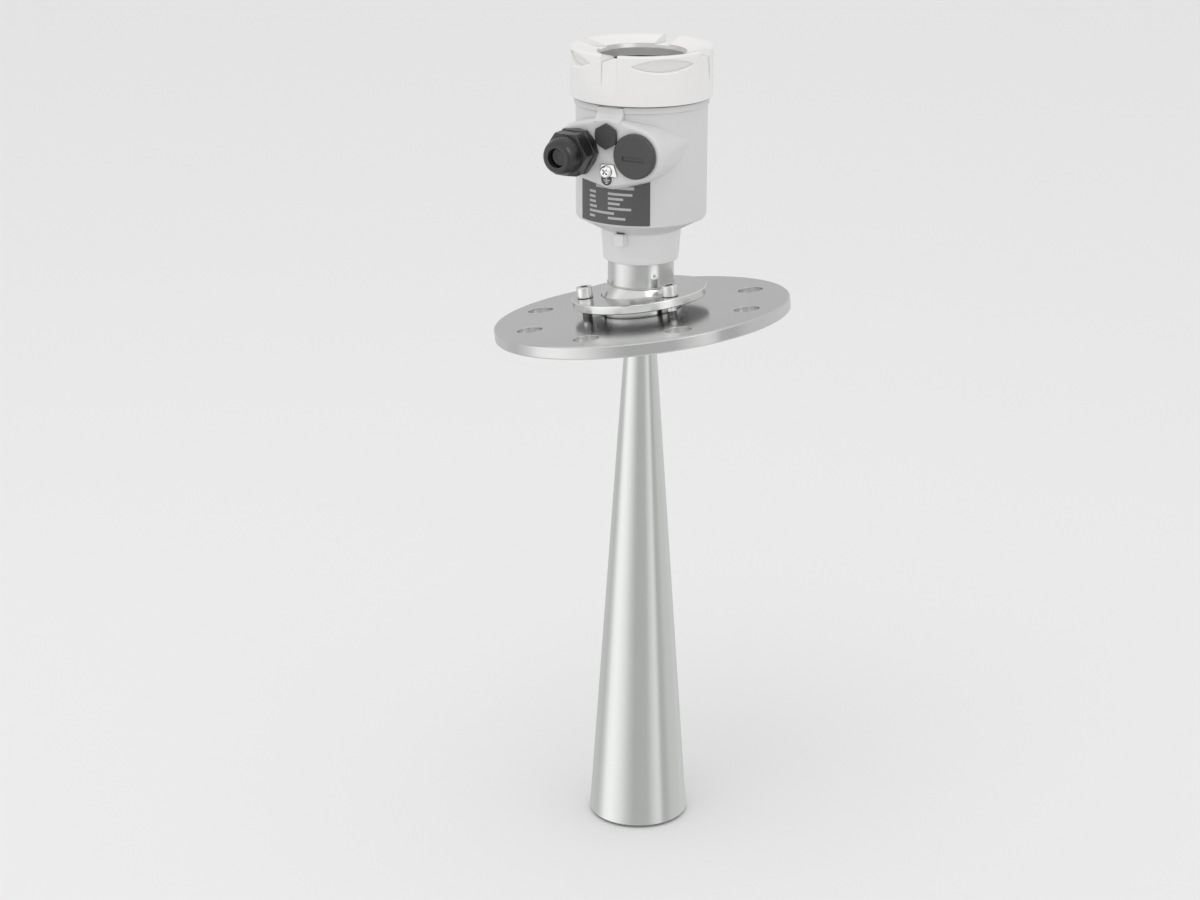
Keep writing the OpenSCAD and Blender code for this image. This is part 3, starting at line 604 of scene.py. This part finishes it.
def enterEdit(mode):
    bpy.ops.object.mode_set(mode="EDIT")
    bpy.ops.mesh.select_mode(type=mode)
    bpy.ops.mesh.select_all(action="DESELECT")


def leaveEdit():
    bpy.ops.mesh.select_all(action="SELECT")
    bpy.ops.mesh.normals_make_consistent(inside=False)
    bpy.ops.object.mode_set(mode="OBJECT")


def pick(points, wanted):  # selects vertices by their place
    bpy.ops.object.mode_set(mode="OBJECT")
    for point in points:
        point.select = wanted(point.co)
    bpy.ops.object.mode_set(mode="EDIT")


def applyPlace():
    bpy.ops.object.transform_apply(location=True, rotation=True, scale=True)


def useModifier(kind, **settings):
    modifier = bpy.context.object.modifiers.new(kind.lower(), kind)
    for name, value in settings.items():
        setattr(modifier, name, value)
    bpy.ops.object.modifier_apply(modifier=modifier.name)


def roundEdges(width, sharpest):  # only the edges that turn by more than this many degrees
    useModifier("BEVEL", width=width, segments=3, limit_method="ANGLE", angle_limit=math.radians(sharpest))


def repeatAlong(count, pitch):
    useModifier(
        "ARRAY", count=count, use_relative_offset=False, use_constant_offset=True,
        constant_offset_displace=(pitch, 0, 0),
    )


def finishPiece(piece, name, coat, body, place=None, smoothAngle=40):
    selectOnly(piece)
    piece.name = name
    piece.data.name = name
    if place:
        piece.matrix_world = place @ piece.matrix_world
    applyPlace()
    bpy.ops.object.shade_smooth_by_angle(angle=math.radians(smoothAngle))
    piece.data.materials.clear()
    piece.data.materials.append(coats[coat])
    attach(piece, body)


def threadRidge(radius, ridge, pitch, turns, start, steps):  # a ridge that winds up about the world's z axis
    bpy.ops.object.select_all(action="DESELECT")
    bpy.ops.mesh.primitive_circle_add(
        vertices=4, radius=ridge, location=(radius, 0, start + ridge), rotation=(math.radians(90), 0, 0)
    )
    applyPlace()
    useModifier("SCREW", axis="Z", screw_offset=pitch, iterations=turns, steps=steps, render_steps=steps)
    enterEdit("EDGE")
    bpy.ops.mesh.select_non_manifold()
    bpy.ops.mesh.fill_holes(sides=4)  # its two ends
    leaveEdit()
    return bpy.context.object


lidThread = {"radius": 0.0383, "ridge": 0.00026, "pitch": 0.0025, "turns": 2, "start": 0.1244, "steps": 72}


def lidThreads():  # on the spigot that the lid screws onto
    thread = threadRidge(**lidThread)
    finishPiece(thread, "lid_thread", "body", "head", Matrix.Translation(ball))


glandThread = {"radius": 0.0104, "ridge": 0.0002, "pitch": 0.0015, "turns": 5, "start": 0.0071, "steps": 36}
glandShank = 0.012  # how far the gland's body goes into the housing


def glandPlace():  # from the housing's face out along the gland, as z
    low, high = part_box("gland_body")
    face = Matrix.Translation((entry.x, high.y - glandShank, entry.z))
    return face @ Matrix.Rotation(math.radians(90), 4, "X")


def glandThreads():  # on the sleeve that the gland's nut runs on
    finishPiece(threadRidge(**glandThread), "gland_thread", "black", "head", glandPlace())


dustPlug = {
    "head": 0.0054, "shank": 0.0044, "top": 0.0222, "thick": 0.0009, "long": 0.0075, "sides": 48,
    "rim": 0.0012, "slope": 0.0004, "dish": 0.0006, "bevel": 0.00018,
}


def glandDustPlug():  # closes the seal's bore until a cable goes in
    look = dustPlug
    shoulder = look["top"] - look["thick"]
    bpy.ops.object.select_all(action="DESELECT")
    bpy.ops.mesh.primitive_cylinder_add(
        vertices=look["sides"], radius=look["shank"], depth=look["long"],
        location=(0, 0, shoulder - look["long"] / 2),
    )
    plug = bpy.context.object
    applyPlace()
    enterEdit("VERT")
    pick(plug.data.vertices, lambda spot: spot.z > shoulder - look["thick"])
    bpy.ops.mesh.extrude_region_move()
    wider = look["head"] / look["shank"]
    bpy.ops.transform.resize(value=(wider, wider, 1))
    bpy.ops.mesh.extrude_region_move(TRANSFORM_OT_translate={"value": (0, 0, look["thick"])})
    bpy.ops.mesh.select_mode(type="FACE")
    bpy.ops.mesh.inset(thickness=look["rim"], depth=0)
    bpy.ops.mesh.inset(thickness=look["slope"], depth=-look["dish"])
    leaveEdit()
    roundEdges(look["bevel"], 40)
    finishPiece(plug, "gland_dust_plug", "insert", "gland_seal", glandPlace())


screwThread = {"radius": 0.003, "ridge": 0.0002, "pitch": 0.001, "turns": 3, "start": -0.0034, "steps": 18}
clampScrews = {"circle": 0.0336, "first": -28, "count": 3}


def screwThreads():  # on the clamp screws, between the flange and the ring
    threads = [threadRidge(**screwThread)]
    while len(threads) < clampScrews["count"]:
        bpy.ops.object.duplicate(linked=False)
        threads.append(bpy.context.object)
    for index, thread in enumerate(threads):
        turn = Matrix.Rotation(math.radians(clampScrews["first"] + 360 / len(threads) * index), 4, "Z")
        out = turn @ Matrix.Translation((clampScrews["circle"], 0, 0))
        place = Matrix.Translation(ball) @ Matrix.Rotation(lean, 4, "Y") @ out
        finishPiece(thread, "clamp_thread_%d" % (index + 1), "thread", "flange_side", place)


beadShape = {"sides": 10, "perRipple": 3, "dent": 0.18, "smoothAngle": 80}
tubeWeld = {"radius": 0.02045, "thickness": 0.0005, "height": 0.0149, "ripples": 72}
hornWeld = {"radius": 0.0091, "thickness": 0.0006, "height": -0.0101, "ripples": 30}


def weldBead(look, name):  # a dent at one segment of every ripple
    bpy.ops.object.select_all(action="DESELECT")
    segments = look["ripples"] * beadShape["perRipple"]
    bpy.ops.mesh.primitive_torus_add(
        major_segments=segments, minor_segments=beadShape["sides"], major_radius=look["radius"],
        minor_radius=look["thickness"],
    )
    bead = bpy.context.object
    enterEdit("VERT")

    def dented(spot):
        return round(math.atan2(spot.y, spot.x) / math.tau * segments) % beadShape["perRipple"] == 0

    pick(bead.data.vertices, dented)
    bpy.ops.transform.shrink_fatten(value=-look["thickness"] * beadShape["dent"])
    leaveEdit()
    place = Matrix.Translation(ball + Vector((0, 0, look["height"])))
    finishPiece(bead, name, "bead", "antenna", place, beadShape["smoothAngle"])


displayFrame = {
    "length": 0.0372, "depth": 0.0212, "y": 0.006, "width": 0.0014, "height": 0.0007, "bevel": 0.00025,
    "sunk": 0.00003,
}
keyRings = {
    "radius": 0.0042, "y": -0.013, "pitch": 0.009, "width": 0.0007, "height": 0.0004, "bevel": 0.0001,
    "sides": 40, "count": 4,
}
levelBar = {"length": 0.0285, "depth": 0.007, "y": 0.0095, "width": 0.0003, "thick": 0.0001, "sunk": 0.00002}
levelBlocks = {"length": 0.0019, "depth": 0.005, "first": -0.0124, "pitch": 0.0025, "count": 8}


def flatPlate(length, depth, x, y, z):
    bpy.ops.object.select_all(action="DESELECT")
    bpy.ops.mesh.primitive_plane_add(size=1, location=(x, y, z))
    plate = bpy.context.object
    plate.scale = (length, depth, 1)
    applyPlace()
    return plate


def hollowOut(width):  # a flat face becomes a flat rim
    enterEdit("FACE")
    bpy.ops.mesh.select_all(action="SELECT")
    bpy.ops.mesh.inset(thickness=width, depth=0)
    bpy.ops.mesh.delete(type="FACE")
    bpy.ops.object.mode_set(mode="OBJECT")


def raiseUp(height, bevel=0.0):
    enterEdit("FACE")
    bpy.ops.mesh.select_all(action="SELECT")
    bpy.ops.mesh.extrude_region_move(TRANSFORM_OT_translate={"value": (0, 0, height)})
    leaveEdit()
    if bevel:
        roundEdges(bevel, 50)


def displayFittings():  # the frame round the screen, a ring round each key, and a level bar
    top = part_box("display_module")[1].z - displayFrame["sunk"]
    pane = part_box("display_screen")[1].z - levelBar["sunk"]
    look = displayFrame
    bezel = flatPlate(look["length"], look["depth"], ball.x, look["y"], top)
    hollowOut(look["width"])
    raiseUp(look["height"], look["bevel"])
    finishPiece(bezel, "display_frame", "face", "head")
    look = keyRings
    first = ball.x - (look["count"] - 1) / 2 * look["pitch"]
    bpy.ops.object.select_all(action="DESELECT")
    bpy.ops.mesh.primitive_circle_add(
        vertices=look["sides"], radius=look["radius"], fill_type="NGON", location=(first, look["y"], top)
    )
    rings = bpy.context.object
    hollowOut(look["width"])
    raiseUp(look["height"], look["bevel"])
    repeatAlong(look["count"], look["pitch"])
    finishPiece(rings, "key_rings", "face", "head")
    look = levelBar
    outline = flatPlate(look["length"], look["depth"], ball.x, look["y"], pane)
    hollowOut(look["width"])
    raiseUp(look["thick"])
    finishPiece(outline, "level_outline", "ink", "head")
    look = levelBlocks
    blocks = flatPlate(look["length"], look["depth"], ball.x + look["first"], levelBar["y"], pane)
    raiseUp(levelBar["thick"])
    repeatAlong(look["count"], look["pitch"])
    finishPiece(blocks, "level_blocks", "ink", "head")


lidThreads()
glandThreads()
glandDustPlug()
screwThreads()
weldBead(tubeWeld, "tube_weld")
weldBead(hornWeld, "horn_weld")
displayFittings()
print("pieces made: threads, gland dust plug, weld beads, display fittings")

studio = {
    "azimuth": 27.0, "plainLight": 0.88, "frontLight": 1.05, "farWall": 0.77,
    "overhead": (0.55, 0.95), "frontSide": (0.0, 0.5), "frontRise": (0.03, 0.25),  # where each light fades in
}
# what polished metal sees of the studio's walls: degrees to the right of the camera, and brightness
wallLight = [
    (-180, 0.60), (-134, 0.72), (-114, 0.68), (-99, 0.92), (-87, 1.28), (-68, 1.34), (-45, 1.10),
    (-28, 0.80), (-12, 0.60), (24, 0.62), (36, 0.84), (48, 1.02), (56, 0.98), (62, 0.60), (74, 0.60),
    (88, 0.76), (134, 0.80), (180, 0.60),
]
# a soft light that polished metal sees, in degrees to the right of the camera and up
softBox = {"azimuth": 44, "elevation": 41, "full": 5, "edge": 21, "level": 2.0}


def studioWorld():
    world = bpy.data.worlds.new("studioWalls")
    bpy.context.scene.world = world
    world.use_nodes = True
    walls = Network(world.node_tree)
    outwards = walls.node("ShaderNodeTexCoord", output="Generated")
    x, y, z = walls.split(outwards)
    facing = math.radians(studio["azimuth"])
    share = ((walls.angle(x, 0 - y) - facing) / math.tau + 0.5).apply("FRACT")  # round the walls, from behind
    stops = [((degrees + 180) / 360, [level / 2] * 3 + [1]) for degrees, level in wallLight]
    wall = walls.node("ShaderNodeValToRGB", {"stops": stops}, {"Fac": share}) * 2  # its stops are at half
    overhead = z.apply("ABSOLUTE").fade(*studio["overhead"])
    room = walls.level(overhead, wall, studio["plainLight"])
    towards = x * math.sin(facing) - y * math.cos(facing)
    front = towards.fade(*studio["frontSide"]) * z.fade(*studio["frontRise"])
    room = walls.level(front, room, studio["frontLight"])
    side = math.radians(studio["azimuth"] + softBox["azimuth"])
    rise = math.radians(softBox["elevation"])
    middle = (math.sin(side) * math.cos(rise), -math.cos(side) * math.cos(rise), math.sin(rise))
    edge, full = math.cos(math.radians(softBox["edge"])), math.cos(math.radians(softBox["full"]))
    box = walls.dot(outwards, middle).fade(edge, full)
    glossy = walls.node("ShaderNodeLightPath", output="Is Glossy Ray")
    direct = walls.node("ShaderNodeLightPath", output="Is Camera Ray")
    plain = studio["plainLight"] + direct * (studio["farWall"] - studio["plainLight"])
    background = world.node_tree.nodes["Background"]
    walls.feed(background.inputs["Strength"], walls.level(glossy, plain, room + box * softBox["level"]))
    background.inputs["Color"].default_value = (1, 1, 1, 1)


studioGround = {"drop": 0.002, "size": 14, "colour": (0.86, 0.86, 0.86, 1), "roughness": 0.8, "shine": 0.2}


def studioFloor():
    height = cadBounds[0][2] - studioGround["drop"]
    bpy.ops.mesh.primitive_plane_add(size=studioGround["size"], location=(0, 0, height))
    floor = bpy.context.object
    floor.name = "studioFloor"
    paint = Finish("floorPaint", {
        "Base Color": studioGround["colour"], "Roughness": studioGround["roughness"],
        "Specular IOR Level": studioGround["shine"],
    })
    floor.data.materials.append(paint.material)
    floor.visible_glossy = False


viewFrom = {"out": 1.4773, "up": 0.4114, "pitch": -18.95, "yaw": 0.98, "lens": 73.88, "sensor": 36}


def studioCamera():
    facing = math.radians(studio["azimuth"])
    lens = bpy.data.cameras.new("studioCamera")
    lens.lens = viewFrom["lens"]
    lens.sensor_width = viewFrom["sensor"]
    camera = bpy.data.objects.new("studioCamera", lens)
    bpy.context.collection.objects.link(camera)
    camera.location = (
        ball.x + viewFrom["out"] * math.sin(facing),
        -viewFrom["out"] * math.cos(facing),
        ball.z + viewFrom["up"],
    )
    tilt, swing = math.radians(90 + viewFrom["pitch"]), facing + math.radians(viewFrom["yaw"])
    camera.rotation_euler = Euler((tilt, 0, swing), "XYZ")
    bpy.context.scene.camera = camera


topLamp = {"azimuth": -30, "height": 2.2, "distance": 1.0, "size": 1.6, "watts": 9}


def studioLamp():
    light = bpy.data.lights.new("topLamp", "AREA")
    light.size = topLamp["size"]
    light.energy = topLamp["watts"]
    lamp = bpy.data.objects.new("topLamp", light)
    bpy.context.collection.objects.link(lamp)
    side = math.radians(studio["azimuth"] + topLamp["azimuth"])
    lamp.location = (
        topLamp["distance"] * math.sin(side), -topLamp["distance"] * math.cos(side), topLamp["height"]
    )
    lamp.rotation_euler = (-lamp.location).to_track_quat("-Z", "Y").to_euler()
    lamp.visible_glossy = False


studioWorld()
studioFloor()
studioCamera()
studioLamp()
bpy.context.scene.view_settings.view_transform = "Standard"
print("studio ready")
